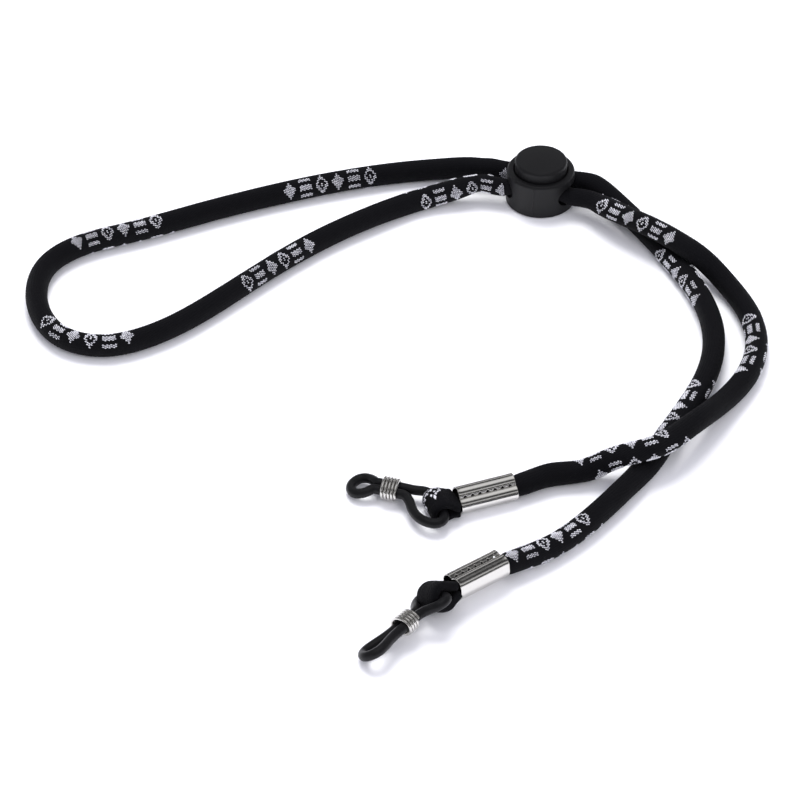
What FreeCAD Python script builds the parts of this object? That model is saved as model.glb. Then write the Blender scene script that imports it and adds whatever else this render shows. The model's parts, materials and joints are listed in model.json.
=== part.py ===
import FreeCAD, Part
import math
import os
from FreeCAD import Matrix, Placement, Vector

# Eyeglass retainer strap, in millimetres.  One long knitted cord makes a neck loop, runs twice
# through a round push-button lock, and ends in two tails.  Each tail is folded into an eye inside a
# crimped metal ferrule, and a rubber ring with a wire coil hangs in each eye.
# Origin: the centre of the lock's base, on the table.  +X: along the two cords through the lock,
# from the neck loop towards the tails.  +Z: up, out of the table.

# ---------------------------------------------------------------- driving dimensions
CORD_DIAMETER = 5.6
SHEATH_WALL = 0.7
CORE_GAP = 0.15
TABLE_GAP = 0.05
RUNNING_GAP = 0.1
CROSSING_GAP = 0.2
SECTION_STEP = 5.0
STRAND_STEP = 1.2

LOCK_BASE_RADIUS = 8.9
LOCK_RIM_RADIUS = 8.7
LOCK_HEIGHT = 9.6
LOCK_FLOOR = 1.0
RIM_ROUNDING = 0.7
RIM_LIP_WIDTH = 0.3
RIM_LIP_DEPTH = 0.7
PARTING_RIDGE = 0.12
BUTTON_RADIUS = 6.75
BUTTON_TOP = 12.8
BUTTON_DOME = 0.35
BUTTON_ROUNDING = 0.8
BUTTON_TRAVEL = 1.8
WEB_THICKNESS = 0.75
WINDOW_HALF_WIDTH = 6.4
WINDOW_LOW = 2.3
WINDOW_HIGH = 7.2
LOCK_SLIDE_LEFT = 4.0
LOCK_SLIDE_RIGHT = 1.5

SPRING_RADIUS = 1.0
SPRING_WIRE = 0.35
SPRING_TURNS = 8
SPRING_PIN_RADIUS = 0.6
SPRING_PIN_HEIGHT = 2.5
SPRING_POCKET_DEPTH = 1.2

FERRULE_LENGTH = 14.4
FERRULE_HALF_WIDTH = 2.9
FERRULE_HALF_HEIGHT = 2.6
FERRULE_SHEET = 0.4
LOBE_RADIUS = 1.6
SEAM_CURL = 0.5
SEAM_GAP = 0.06
TOOTH_COUNT = 7
TOOTH_PITCH = 1.9
TOOTH_WIDTH = 1.2
TOOTH_DEPTH = 0.7

STRAND_RADIUS = 1.2
EYE_HALF_WIDTH = 3.5
EYE_LAYER = 1.4
EYE_REACH = 4.6
EYE_SLACK = 0.2
EYE_ROUNDING = 0.55

COIL_WIRE = 0.72
COIL_PITCH = 0.82
COIL_TURNS = 4.7
COIL_TO_EYE_SPARE = 0.8
COIL_TO_TIP_SPARE = 1.1

FLEX_ANGLE = 25.0
FLEX_A_DISTANCE = 13.0
FLEX_B_DISTANCE = 30.0

# ---------------------------------------------------------------- worked-out dimensions
CORD_RADIUS = CORD_DIAMETER / 2
BORE_RADIUS = BUTTON_RADIUS + RUNNING_GAP
WEB_LOW = LOCK_FLOOR + RUNNING_GAP + BUTTON_TRAVEL
WEB_TOP = WEB_LOW + WEB_THICKNESS
FLEX_GAP = CORD_RADIUS * math.sin(math.radians(FLEX_ANGLE)) + RUNNING_GAP

# Cross-sections of the cord, as (width, height).
ROUND = (CORD_DIAMETER, CORD_DIAMETER)
GRIPPED = (4.6, 3.1)
PRESSED = (6.3, 4.5)
CRIMPED = (4.6, 4.2)

CORD_Y = 3.7
GRIPPED_Z = WEB_TOP + TABLE_GAP + GRIPPED[1] / 2
LYING_Z = CORD_RADIUS + TABLE_GAP
UNDER_Z = PRESSED[1] / 2 + TABLE_GAP
OVER_Z = UNDER_Z + PRESSED[1] + CROSSING_GAP
PASSAGE_HIGH = GRIPPED_Z + GRIPPED[1] / 2 + BUTTON_TRAVEL + RUNNING_GAP
PASSAGE_HALF_WIDTH = CORD_Y + GRIPPED[0] / 2 + TABLE_GAP

STRAIGHT_LEFT = LOCK_BASE_RADIUS + LOCK_SLIDE_LEFT + RUNNING_GAP
STRAIGHT_RIGHT = LOCK_BASE_RADIUS + LOCK_SLIDE_RIGHT + RUNNING_GAP

EYE_SLOT = STRAND_RADIUS + EYE_SLACK
FERRULE_END = -EYE_REACH - FERRULE_LENGTH
STRAND_SIZE = (2 * STRAND_RADIUS, 2 * STRAND_RADIUS)
STRAND_OFFSET = STRAND_RADIUS + 0.03
COIL_HALF_LENGTH = (COIL_TURNS * COIL_PITCH + COIL_WIRE) / 2
COIL_SIDE = STRAND_OFFSET + STRAND_RADIUS + 0.07 + COIL_WIRE / 2
COIL_RISE = STRAND_RADIUS + 0.7 + COIL_WIRE / 2


# ---------------------------------------------------------------- general helpers
def export(node, shape):
    """Write one piece to its own file."""
    shape.exportStep(os.path.join("parts", node + ".step"))


def moved(shape, placement):
    """A copy of a shape carried into another frame."""
    copy = shape.copy()
    copy.Placement = placement
    return copy


def revolve(outline):
    """A solid of revolution about Z from (radius, height) points and arcs given as three points."""
    edges = []
    for piece in outline:
        points = [Vector(radius, 0, height) for radius, height in piece]
        if len(points) == 2:
            edges.append(Part.makeLine(*points))
        else:
            edges.append(Part.Arc(*points).toShape())
    face = Part.Face(Part.Wire(edges))
    return face.revolve(Vector(0, 0, 0), Vector(0, 0, 1), 360)


def slot_along_x(half_width, low, high, half_length):
    """A bar along X with round sides, as wide as 2 half_width and from low to high."""
    radius = (high - low) / 2
    centre = (high + low) / 2
    box = Part.makeBox(2 * half_length, 2 * (half_width - radius), high - low,
                       Vector(-half_length, radius - half_width, low))
    for side in (-1, 1):
        start = Vector(-half_length, side * (half_width - radius), centre)
        box = box.fuse(Part.makeCylinder(radius, 2 * half_length, start, Vector(1, 0, 0)))
    return box.removeSplitter()


# ---------------------------------------------------------------- the cord
def oval_wire(centre, tangent, size, shrink):
    """An oval across the cord, level with the table, smaller than size by shrink on every side."""
    tangent = Vector(tangent).normalize()
    side = tangent.cross(Vector(0, 0, 1)).normalize()
    lift = side.cross(tangent)
    width = size[0] / 2 - shrink
    height = size[1] / 2 - shrink
    if width == height:
        oval = Part.Circle(Vector(0, 0, 0), Vector(0, 0, 1), width)
    else:
        oval = Part.Ellipse(Vector(0, 0, 0), width, height)
    turn = Matrix(side.x, lift.x, -tangent.x, centre.x,
                  side.y, lift.y, -tangent.y, centre.y,
                  side.z, lift.z, -tangent.z, centre.z,
                  0, 0, 0, 1)
    return Part.Wire([moved(oval.toShape(), Placement(turn))])


class CordPath:
    """A smooth cord centreline through stations of (x, y, z, section)."""

    def __init__(self, stations, start_direction, end_direction):
        points = [Vector(*station[:3]) for station in stations]
        self.curve = Part.BSplineCurve()
        self.curve.interpolate(Points=points, InitialTangent=start_direction,
                               FinalTangent=end_direction, Scale=False)
        self.marks = [self.curve.parameter(point) for point in points]
        self.sections = [station[3] for station in stations]
        self.length = self.curve.length()

    def section(self, parameter):
        """The cord's width and height, blended between the stations on either side."""
        for low, high, before, after in zip(self.marks, self.marks[1:], self.sections, self.sections[1:]):
            if parameter <= high:
                share = min(max((parameter - low) / (high - low), 0.0), 1.0)
                share = share * share * (3 - 2 * share)
                return tuple(a + (b - a) * share for a, b in zip(before, after))
        return self.sections[-1]

    def solid(self, start, end, shrink):
        """The cord between two arc lengths, smaller by shrink on every side."""
        count = max(int(math.ceil((end - start) / SECTION_STEP)), 3)
        wires = []
        for index in range(count + 1):
            parameter = self.curve.parameterAtDistance(start + (end - start) * index / count)
            centre = self.curve.value(parameter)
            wires.append(oval_wire(centre, self.curve.tangent(parameter)[0],
                                   self.section(parameter), shrink))
        return Part.makeLoft(wires, True, False)


def straight_cord(side, from_x, to_x, shrink):
    """The straight, squeezed stretch of one cord through the lock."""
    centre = Vector(from_x, side * CORD_Y, GRIPPED_Z)
    direction = Vector(to_x - from_x, 0, 0)
    face = Part.Face(oval_wire(centre, direction, GRIPPED, shrink))
    return face.extrude(direction)


def cord_pieces(build):
    """Sheath and filler core of one cord run; build(shrink) makes its solid at any size."""
    sheath = build(0.0).cut(build(SHEATH_WALL))
    core = build(SHEATH_WALL + CORE_GAP)
    return sheath, core


def neck_path():
    """The neck loop, from the rear run at the lock, around, and back along the front run."""
    rear_start = (-STRAIGHT_LEFT, CORD_Y, GRIPPED_Z, GRIPPED)
    front_end = (-STRAIGHT_LEFT, -CORD_Y, GRIPPED_Z, GRIPPED)
    rear = [(-21.0, 3.3, 4.1, ROUND), (-30.0, 1.7, LYING_Z, ROUND)]
    loop = [(-44.1, -4.6), (-62.6, -15.8), (-80.4, -28.7), (-97.8, -42.4), (-108.6, -50.8),
            (-114.1, -60.3), (-113.9, -70.7), (-108.5, -82.2), (-102.1, -87.7), (-92.0, -88.9),
            (-81.1, -82.2), (-69.9, -67.1), (-59.3, -48.5), (-48.0, -31.5), (-35.7, -17.5)]
    front = [(-27.6, -10.2, LYING_Z, ROUND), (-20.6, -6.4, 4.1, ROUND)]
    stations = [rear_start] + rear + [(x, y, LYING_Z, ROUND) for x, y in loop] + front + [front_end]
    return CordPath(stations, Vector(-1, 0, 0), Vector(1, 0, 0))


def tail_a_path(ferrule_point, ferrule_direction):
    """The front cord's tail, which lies over the other one at both crossings."""
    stations = [
        (STRAIGHT_RIGHT, -CORD_Y, GRIPPED_Z, GRIPPED),
        (19.0, -7.9, OVER_Z - 0.9, PRESSED),
        (27.7, -12.9, OVER_Z, PRESSED),
        (35.5, -16.7, OVER_Z, PRESSED),
        (41.1, -19.9, OVER_Z - 0.3, PRESSED),
        (46.9, -23.4, OVER_Z - 1.2, ROUND),
        (52.9, -27.6, LYING_Z + 0.6, ROUND),
        (60.2, -36.9, LYING_Z, ROUND),
        (65.0, -48.8, LYING_Z, ROUND),
        (65.3, -62.5, LYING_Z, ROUND),
        (61.6, -75.2, LYING_Z + 0.8, ROUND),
        (58.0, -85.4, OVER_Z - 1.1, ROUND),
        (53.9, -94.2, OVER_Z, PRESSED),
        (49.4, -100.4, OVER_Z, PRESSED),
        (43.6, -103.9, OVER_Z - 0.3, PRESSED),
        (38.4, -106.0, LYING_Z + 1.9, ROUND),
        (33.4, -108.5, LYING_Z + 0.1, ROUND),
        (27.5, -110.8, LYING_Z, ROUND),
        (*ferrule_point, CRIMPED),
    ]
    return CordPath(stations, Vector(1, 0, 0), ferrule_direction)


def tail_b_path(ferrule_point, ferrule_direction):
    """The rear cord's tail, which lies under the other one at both crossings."""
    stations = [
        (STRAIGHT_RIGHT, CORD_Y, GRIPPED_Z, GRIPPED),
        (17.4, 0.6, 3.9, ROUND),
        (24.4, -5.0, UNDER_Z + 0.2, PRESSED),
        (33.0, -14.0, UNDER_Z, PRESSED),
        (39.6, -21.8, UNDER_Z, PRESSED),
        (46.8, -32.2, LYING_Z, ROUND),
        (53.3, -45.6, LYING_Z, ROUND),
        (55.7, -59.2, LYING_Z, ROUND),
        (54.8, -72.0, LYING_Z, ROUND),
        (52.3, -83.5, UNDER_Z + 0.2, PRESSED),
        (50.1, -92.5, UNDER_Z, PRESSED),
        (47.8, -102.4, UNDER_Z, PRESSED),
        (44.4, -112.4, LYING_Z, ROUND),
        (37.3, -128.6, LYING_Z, ROUND),
        (30.0, -139.2, LYING_Z, ROUND),
        (*ferrule_point, CRIMPED),
    ]
    return CordPath(stations, Vector(1, 0, 0), ferrule_direction)


def make_neck():
    """The whole neck loop with its two stretches inside the lock."""
    path = neck_path()

    def build(shrink):
        loop = path.solid(0, path.length, shrink)
        rear = straight_cord(1, -STRAIGHT_LEFT, -TABLE_GAP, shrink)
        front = straight_cord(-1, -STRAIGHT_LEFT, -TABLE_GAP, shrink)
        return loop.fuse([rear, front]).removeSplitter()

    return cord_pieces(build)


def make_tail(path, side, flex_distance):
    """One tail, divided where its free end bends: two sheaths and two cores."""
    def near(shrink):
        straight = straight_cord(side, TABLE_GAP, STRAIGHT_RIGHT, shrink)
        curved = path.solid(0, path.length - flex_distance - FLEX_GAP / 2, shrink)
        return straight.fuse(curved).removeSplitter()

    def free(shrink):
        start = path.length - flex_distance + FLEX_GAP / 2
        return path.solid(start, path.length - RUNNING_GAP, shrink)

    return cord_pieces(near) + cord_pieces(free)


# ---------------------------------------------------------------- the cord lock
def make_barrel():
    """Cup-shaped barrel with a rounded rim, two cord windows and a centring pin for the spring."""
    rim = RIM_ROUNDING
    lip_radius = BORE_RADIUS + RIM_LIP_WIDTH
    edge = 0.4
    shoulder = LOCK_HEIGHT - rim
    crown = LOCK_RIM_RADIUS - rim
    bow = rim * math.sqrt(0.5)
    outline = [
        [(0, 0), (LOCK_BASE_RADIUS - edge, 0)],
        [(LOCK_BASE_RADIUS - edge, 0), (LOCK_BASE_RADIUS, edge)],
        [(LOCK_BASE_RADIUS, edge), (LOCK_RIM_RADIUS, shoulder)],
        [(LOCK_RIM_RADIUS, shoulder), (crown + bow, shoulder + bow), (crown, LOCK_HEIGHT)],
        [(crown, LOCK_HEIGHT), (lip_radius, LOCK_HEIGHT)],
        [(lip_radius, LOCK_HEIGHT), (BORE_RADIUS, LOCK_HEIGHT - RIM_LIP_DEPTH)],
        [(BORE_RADIUS, LOCK_HEIGHT - RIM_LIP_DEPTH), (BORE_RADIUS, LOCK_FLOOR)],
        [(BORE_RADIUS, LOCK_FLOOR), (0, LOCK_FLOOR)],
        [(0, LOCK_FLOOR), (0, 0)],
    ]
    barrel = revolve(outline)
    ridge_reach = LOCK_RIM_RADIUS + PARTING_RIDGE
    ridge_height = shoulder - edge
    for side in (-1, 1):
        corner = Vector(-PARTING_RIDGE, min(side * ridge_reach, side * (ridge_reach - 1)), edge)
        barrel = barrel.fuse(Part.makeBox(2 * PARTING_RIDGE, 1, ridge_height, corner))
    windows = slot_along_x(WINDOW_HALF_WIDTH, WINDOW_LOW, WINDOW_HIGH, 2 * LOCK_BASE_RADIUS)
    barrel = barrel.cut(windows)
    pin = Part.makeCylinder(SPRING_PIN_RADIUS, SPRING_PIN_HEIGHT, Vector(0, 0, LOCK_FLOOR))
    return barrel.fuse(pin).removeSplitter()


def make_button():
    """Plunger with a domed head, a cross passage for both cords and a pocket for the spring."""
    side_top = BUTTON_TOP - BUTTON_DOME - BUTTON_ROUNDING
    flat_radius = BUTTON_RADIUS - BUTTON_ROUNDING
    bow = BUTTON_ROUNDING * math.sqrt(0.5)
    dome_edge = BUTTON_TOP - BUTTON_DOME
    dome_radius = (flat_radius ** 2 + BUTTON_DOME ** 2) / (2 * BUTTON_DOME)
    dome_middle = BUTTON_TOP - dome_radius + math.sqrt(dome_radius ** 2 - flat_radius ** 2 / 4)
    outline = [
        [(0, WEB_LOW), (BUTTON_RADIUS, WEB_LOW)],
        [(BUTTON_RADIUS, WEB_LOW), (BUTTON_RADIUS, side_top)],
        [(BUTTON_RADIUS, side_top), (flat_radius + bow, side_top + bow), (flat_radius, dome_edge)],
        [(flat_radius, dome_edge), (flat_radius / 2, dome_middle), (0, BUTTON_TOP)],
        [(0, BUTTON_TOP), (0, WEB_LOW)],
    ]
    button = revolve(outline)
    passage = Part.makeBox(2 * BUTTON_RADIUS + 2, 2 * PASSAGE_HALF_WIDTH, PASSAGE_HIGH - WEB_TOP,
                           Vector(-BUTTON_RADIUS - 1, -PASSAGE_HALF_WIDTH, WEB_TOP))
    pocket_radius = SPRING_RADIUS + SPRING_WIRE / 2 + RUNNING_GAP
    pocket = Part.makeCylinder(pocket_radius, PASSAGE_HIGH + SPRING_POCKET_DEPTH - WEB_LOW,
                               Vector(0, 0, WEB_LOW))
    return button.cut([passage, pocket])


def make_spring():
    """Compression spring between the barrel's floor and the pocket in the button's head."""
    low = LOCK_FLOOR + SPRING_WIRE / 2 + 0.02
    high = PASSAGE_HIGH + SPRING_POCKET_DEPTH - SPRING_WIRE / 2 - 0.02
    helix = Part.makeHelix((high - low) / SPRING_TURNS, high - low, SPRING_RADIUS)
    helix.translate(Vector(0, 0, low))
    start = Vector(SPRING_RADIUS, 0, low)
    profile = Part.Wire([Part.makeCircle(SPRING_WIRE / 2, start, Vector(0, 1, 0))])
    return Part.Wire(helix).makePipeShell([profile], True, True)


# ---------------------------------------------------------------- the tails' fittings
# They are built in a local frame: x along the tail from the eye's bar towards the ring, y along the
# bar of rubber that passes through the eye, z out of the flat of the eye.
class EndFrame:
    """Where one tail's fittings sit: the bar's centre, the tail's direction and its roll."""

    def __init__(self, centre, heading, pitch, roll):
        self.centre = Vector(*centre)
        self.x = self.turned(heading, pitch)
        level = Vector(-self.x.y, self.x.x, 0).normalize()
        up = self.x.cross(level)
        angle = math.radians(roll)
        self.y = level * math.cos(angle) + up * math.sin(angle)
        self.z = self.x.cross(self.y)

    @staticmethod
    def turned(heading, pitch):
        flat = math.cos(math.radians(pitch))
        return Vector(flat * math.cos(math.radians(heading)), flat * math.sin(math.radians(heading)),
                      math.sin(math.radians(pitch)))

    def placement(self):
        return Placement(Matrix(self.x.x, self.y.x, self.z.x, self.centre.x,
                                self.x.y, self.y.y, self.z.y, self.centre.y,
                                self.x.z, self.y.z, self.z.z, self.centre.z,
                                0, 0, 0, 1))

    def ferrule_point(self):
        return self.centre + self.x * FERRULE_END


END_A = EndFrame(centre=(3.0, -128.6, LYING_Z), heading=214.6, pitch=0.0, roll=0.0)
END_B = EndFrame(centre=(10.5, -162.3, 4.7), heading=231.5, pitch=3.0, roll=33.0)


def crimp_face(inset):
    """The ferrule's section: a wide round back and two lobes rolled in to a seam, made smaller."""
    half_width = FERRULE_HALF_WIDTH - inset
    lobe = LOBE_RADIUS - inset
    lobe_y = FERRULE_HALF_WIDTH - LOBE_RADIUS
    lobe_z = FERRULE_HALF_HEIGHT - LOBE_RADIUS
    seam_z = lobe_z + math.sqrt(lobe ** 2 - (lobe_y - inset) ** 2)
    back = Part.Ellipse(Vector(0, 0, 0), half_width, FERRULE_HALF_HEIGHT - inset)
    edges = [back.toShape(math.pi, 2 * math.pi)]

    def lobe_arc(side):
        outer = Vector(side * half_width, lobe_z, 0)
        crown = Vector(side * lobe_y, lobe_z + lobe, 0)
        return Part.Arc(outer, crown, Vector(side * inset, seam_z, 0)).toShape()

    for side in (-1, 1):
        edges.append(Part.makeLine(Vector(side * half_width, 0, 0), Vector(side * half_width, lobe_z, 0)))
        edges.append(lobe_arc(side))
    if inset > 0:
        curl_z = seam_z - SEAM_CURL
        corners = [Vector(-inset, seam_z, 0), Vector(-inset, curl_z, 0), Vector(inset, curl_z, 0),
                   Vector(inset, seam_z, 0)]
        edges += [Part.makeLine(start, end) for start, end in zip(corners, corners[1:])]
    return Part.Face(Part.Wire(Part.__sortEdges__(edges)))


def along_tail(profile, from_x, to_x):
    """Extrude a profile drawn in X and Y along the tail, with its X across and its Y up."""
    solid = profile.extrude(Vector(0, 0, to_x - from_x))
    return moved(solid, Placement(Matrix(0, 0, 1, from_x,
                                         1, 0, 0, 0,
                                         0, 1, 0, 0,
                                         0, 0, 0, 1)))


def make_ferrule():
    """Rolled sheet crimp with an open seam and triangular gaps between its teeth."""
    tube = along_tail(crimp_face(0.0), FERRULE_END, -EYE_REACH)
    inside = along_tail(crimp_face(FERRULE_SHEET), FERRULE_END - 1, -EYE_REACH + 1)
    depth = FERRULE_HALF_HEIGHT
    seam = Part.makeBox(FERRULE_LENGTH + 2, SEAM_GAP, depth,
                        Vector(FERRULE_END - 1, -SEAM_GAP / 2, 0.3))
    ferrule = tube.cut([inside, seam])
    middle = -EYE_REACH - FERRULE_LENGTH / 2
    for index in range(TOOTH_COUNT):
        tooth_x = middle + (index - (TOOTH_COUNT - 1) / 2) * TOOTH_PITCH
        corners = [Vector(tooth_x - TOOTH_WIDTH / 2, 0, 0.3), Vector(tooth_x, -TOOTH_DEPTH, 0.3),
                   Vector(tooth_x + TOOTH_WIDTH / 2, 0, 0.3)]
        gap = Part.Face(Part.makePolygon(corners + corners[:1])).extrude(Vector(0, 0, depth))
        ferrule = ferrule.cut(gap)
    return ferrule


def make_eye():
    """The cord's flattened fold around the rubber bar, with its two legs inside the ferrule."""
    outer = EYE_SLOT + EYE_LAYER
    width = 2 * EYE_HALF_WIDTH
    fold = Part.makeCylinder(outer, width, Vector(0, -EYE_HALF_WIDTH, 0), Vector(0, 1, 0))
    layers = Part.makeBox(EYE_REACH - TABLE_GAP, width, 2 * outer,
                          Vector(TABLE_GAP - EYE_REACH, -EYE_HALF_WIDTH, -outer))
    band = fold.fuse(layers).removeSplitter()
    band = band.makeFillet(EYE_ROUNDING, [edge for edge in band.Edges if rim_edge(edge)])
    bar_space = Part.makeCylinder(EYE_SLOT, width + 2, Vector(0, -EYE_HALF_WIDTH - 1, 0),
                                  Vector(0, 1, 0))
    slot = Part.makeBox(EYE_REACH + 1, width + 2, 2 * EYE_SLOT,
                        Vector(-EYE_REACH - 1, -EYE_HALF_WIDTH - 1, -EYE_SLOT))
    band = band.cut([bar_space, slot])
    legs = along_tail(crimp_face(FERRULE_SHEET + 0.06), FERRULE_END + RUNNING_GAP, 0.6 - EYE_REACH)
    parting = Part.makeBox(FERRULE_LENGTH + 4, width, 0.12, Vector(FERRULE_END - 1, -width / 2, -0.06))
    return band.fuse(legs.cut(parting)).removeSplitter()


def rim_edge(edge):
    """True for an edge that runs around one of the eye's two open sides."""
    return all(abs(abs(vertex.Y) - EYE_HALF_WIDTH) < 1e-6 for vertex in edge.Vertexes)


class RingShape:
    """The course of one rubber ring, pinched by its coil, in the end's local frame."""

    def __init__(self, coil, angle, tip_reach, tip_half_width, tip_drop, near_side, far_side, droop):
        self.coil = Vector(*coil, 0)
        self.along = Vector(math.cos(math.radians(angle)), math.sin(math.radians(angle)), 0)
        self.across = Vector(-self.along.y, self.along.x, 0)
        self.tip_reach = tip_reach
        self.tip_half_width = tip_half_width
        self.tip_drop = tip_drop
        self.near_side = near_side
        self.far_side = far_side
        self.droop = Placement(Vector(0, 0, 0), FreeCAD.Rotation(Vector(0, 1, 0), droop))

    def at(self, along, across, drop=0.0):
        return self.coil + self.along * along + self.across * across - Vector(0, 0, drop)

    def tip_bow(self):
        """The temple loop beyond the coil."""
        start = COIL_HALF_LENGTH + COIL_TO_TIP_SPARE
        drop = self.tip_drop
        flare = (start + self.tip_reach - self.tip_half_width) / 2
        flare_side = 0.46 * (STRAND_OFFSET + self.tip_half_width)
        shoulder = self.tip_reach - self.tip_half_width / 2
        shoulder_side = self.tip_half_width * math.sqrt(0.75)
        bow = [self.at(start, STRAND_OFFSET), self.at(flare, flare_side, drop / 4),
               self.at(shoulder, shoulder_side, 0.8 * drop), self.at(self.tip_reach, 0, drop),
               self.at(shoulder, -shoulder_side, 0.8 * drop),
               self.at(flare, -flare_side, drop / 4), self.at(start, -STRAND_OFFSET)]
        return self.strand(bow, self.along)

    def eye_bow(self):
        """The larger loop, whose end is the straight bar through the cord's eye."""
        start = -COIL_HALF_LENGTH - COIL_TO_EYE_SPARE
        bow = ([self.at(start, -STRAND_OFFSET)] + [Vector(x, y, 0) for x, y in self.far_side]
               + [Vector(x, y, 0) for x, y in reversed(self.near_side)]
               + [self.at(start, STRAND_OFFSET)])
        return self.strand(bow, -self.along)

    @staticmethod
    def strand(bow, direction):
        """A round rubber strand through the bow's points, leaving along direction and returning."""
        spline = Part.BSplineCurve()
        spline.interpolate(Points=bow, InitialTangent=direction, FinalTangent=-direction, Scale=False)
        length = spline.length()
        count = int(math.ceil(length / STRAND_STEP))
        wires = []
        for index in range(count + 1):
            parameter = spline.parameterAtDistance(length * index / count)
            wires.append(oval_wire(spline.value(parameter), spline.tangent(parameter)[0],
                                   STRAND_SIZE, 0.0))
        return Part.makeLoft(wires, True, False)

    def ring(self):
        """The closed ring: both bows and the two straight strands inside the coil."""
        start = -COIL_HALF_LENGTH - COIL_TO_EYE_SPARE
        length = 2 * COIL_HALF_LENGTH + COIL_TO_EYE_SPARE + COIL_TO_TIP_SPARE
        straights = []
        for side in (-1, 1):
            section = oval_wire(self.at(start, side * STRAND_OFFSET), self.along, STRAND_SIZE, 0.0)
            straights.append(Part.Face(section).extrude(self.along * length))
        return moved(self.tip_bow().fuse([self.eye_bow()] + straights), self.droop)

    def wire_coil(self):
        """Close-wound oval coil around both strands."""
        steps_per_turn = 16
        steps = int(round(COIL_TURNS * steps_per_turn))
        points = []
        for step in range(steps + 1):
            angle = 2 * math.pi * step / steps_per_turn
            along = (step / steps_per_turn - COIL_TURNS / 2) * COIL_PITCH
            rise = Vector(0, 0, COIL_RISE * math.sin(angle))
            points.append(self.at(along, COIL_SIDE * math.cos(angle)) + rise)
        spline = Part.BSplineCurve()
        spline.interpolate(points)
        profile = Part.Wire([Part.makeCircle(COIL_WIRE / 2, points[0], spline.tangent(0)[0])])
        coil = Part.Wire([spline.toShape()]).makePipeShell([profile], True, True)
        return moved(coil, self.droop)


RING_A = RingShape(coil=(8.4, -9.8), angle=-38.6, tip_reach=9.7, tip_half_width=3.3, tip_drop=1.4,
                   near_side=[(5.9, -4.7), (6.3, -1.2), (6.2, 1.8), (4.8, 4.6), (2.7, 5.9),
                              (0.8, 5.2), (0, 2.8)],
                   far_side=[(3.2, -7.2), (1.4, -6.1), (0.25, -4.6), (0, -2.5)], droop=0.0)
RING_B = RingShape(coil=(10.9, 0.9), angle=4.0, tip_reach=13.6, tip_half_width=2.7, tip_drop=0.0,
                   near_side=[(5.6, 2.9), (4.1, 4.7), (2.3, 5.5), (0.7, 4.9), (0, 2.8)],
                   far_side=[(6.1, -1.2), (4.7, -3.0), (3.2, -4.6), (1.6, -5.4), (0.4, -4.8), (0, -2.8)],
                   droop=12.0)


# ---------------------------------------------------------------- the whole strap
def make_end(letter, frame, shape):
    """Ferrule, eye, ring and coil of one tail."""
    place = frame.placement()
    export("ferrule_" + letter, moved(make_ferrule(), place))
    export("eye_" + letter, moved(make_eye(), place))
    ring = shape.ring()
    ring.Placement = place.multiply(ring.Placement)
    export("ring_" + letter, ring)
    coil = shape.wire_coil()
    coil.Placement = place.multiply(coil.Placement)
    export("coil_" + letter, coil)


def main():
    os.makedirs("parts", exist_ok=True)
    sheath, core = make_neck()
    export("neck_sheath", sheath)
    export("neck_core", core)

    tails = (("a", -1, tail_a_path(END_A.ferrule_point(), END_A.x), FLEX_A_DISTANCE),
             ("b", 1, tail_b_path(END_B.ferrule_point(), END_B.x), FLEX_B_DISTANCE))
    for letter, side, path, flex_distance in tails:
        near_sheath, near_core, free_sheath, free_core = make_tail(path, side, flex_distance)
        export("tail_" + letter + "_sheath", near_sheath)
        export("tail_" + letter + "_core", near_core)
        export("tail_" + letter + "_end_sheath", free_sheath)
        export("tail_" + letter + "_end_core", free_core)

    export("lock_barrel", make_barrel())
    export("lock_button", make_button())
    export("lock_spring", make_spring())
    make_end("a", END_A, RING_A)
    make_end("b", END_B, RING_B)


main()
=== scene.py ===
import json
import math

import bpy
import numpy as np
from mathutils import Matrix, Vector


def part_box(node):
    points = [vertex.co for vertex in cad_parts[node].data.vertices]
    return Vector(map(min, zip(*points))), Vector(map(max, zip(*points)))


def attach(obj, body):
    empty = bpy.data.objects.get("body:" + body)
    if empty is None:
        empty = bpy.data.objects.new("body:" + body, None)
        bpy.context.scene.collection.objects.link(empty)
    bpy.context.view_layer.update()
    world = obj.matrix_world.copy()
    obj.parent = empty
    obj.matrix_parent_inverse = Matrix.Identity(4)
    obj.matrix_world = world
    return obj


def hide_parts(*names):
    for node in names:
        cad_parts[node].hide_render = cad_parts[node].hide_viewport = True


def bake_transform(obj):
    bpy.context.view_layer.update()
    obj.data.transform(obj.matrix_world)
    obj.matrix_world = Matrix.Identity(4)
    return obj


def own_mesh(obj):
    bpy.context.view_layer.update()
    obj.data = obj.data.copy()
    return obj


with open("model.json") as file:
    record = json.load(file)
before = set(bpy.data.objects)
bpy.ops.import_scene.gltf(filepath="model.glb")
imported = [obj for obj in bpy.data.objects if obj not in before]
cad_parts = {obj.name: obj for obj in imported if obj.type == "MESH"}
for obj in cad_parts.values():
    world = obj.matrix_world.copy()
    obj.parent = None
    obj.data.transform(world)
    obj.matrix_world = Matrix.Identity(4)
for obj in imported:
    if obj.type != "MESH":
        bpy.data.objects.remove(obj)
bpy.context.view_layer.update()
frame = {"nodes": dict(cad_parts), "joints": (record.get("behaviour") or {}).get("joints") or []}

# Looks of the eyeglass retainer strap: knitted cord with woven motifs, push-button lock, crimped
# ferrules, knitted eyes, rubber temple rings and wire coils.  Lengths are named in millimetres.
MM = 0.001
UP = np.array([0.0, 0.0, 1.0])
LETTERS = ("a", "b")
CORD_SIDE = {"a": -1, "b": 1}

# ---------------------------------------------------------------- driving values
CORD_DIAMETER = 5.6
WALK_STEP = 1.0
END_SHARE = 0.7
MOST_STATIONS = 1000
FEWEST_CUT_POINTS = 8
NECK_REACH = 3.9
TAIL_REACH = 4.3

KNIT_COLUMNS = 26
COLUMN_SAMPLES = 4
RING_STEP = 0.33
RINGS_PER_ROW = 3
KNIT_DEPTH = 0.07
ROW_DIP = 0.28
UNEVEN_DEPTH = 0.05
UNEVEN_LENGTHS = (7.3, 17.0)

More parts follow.
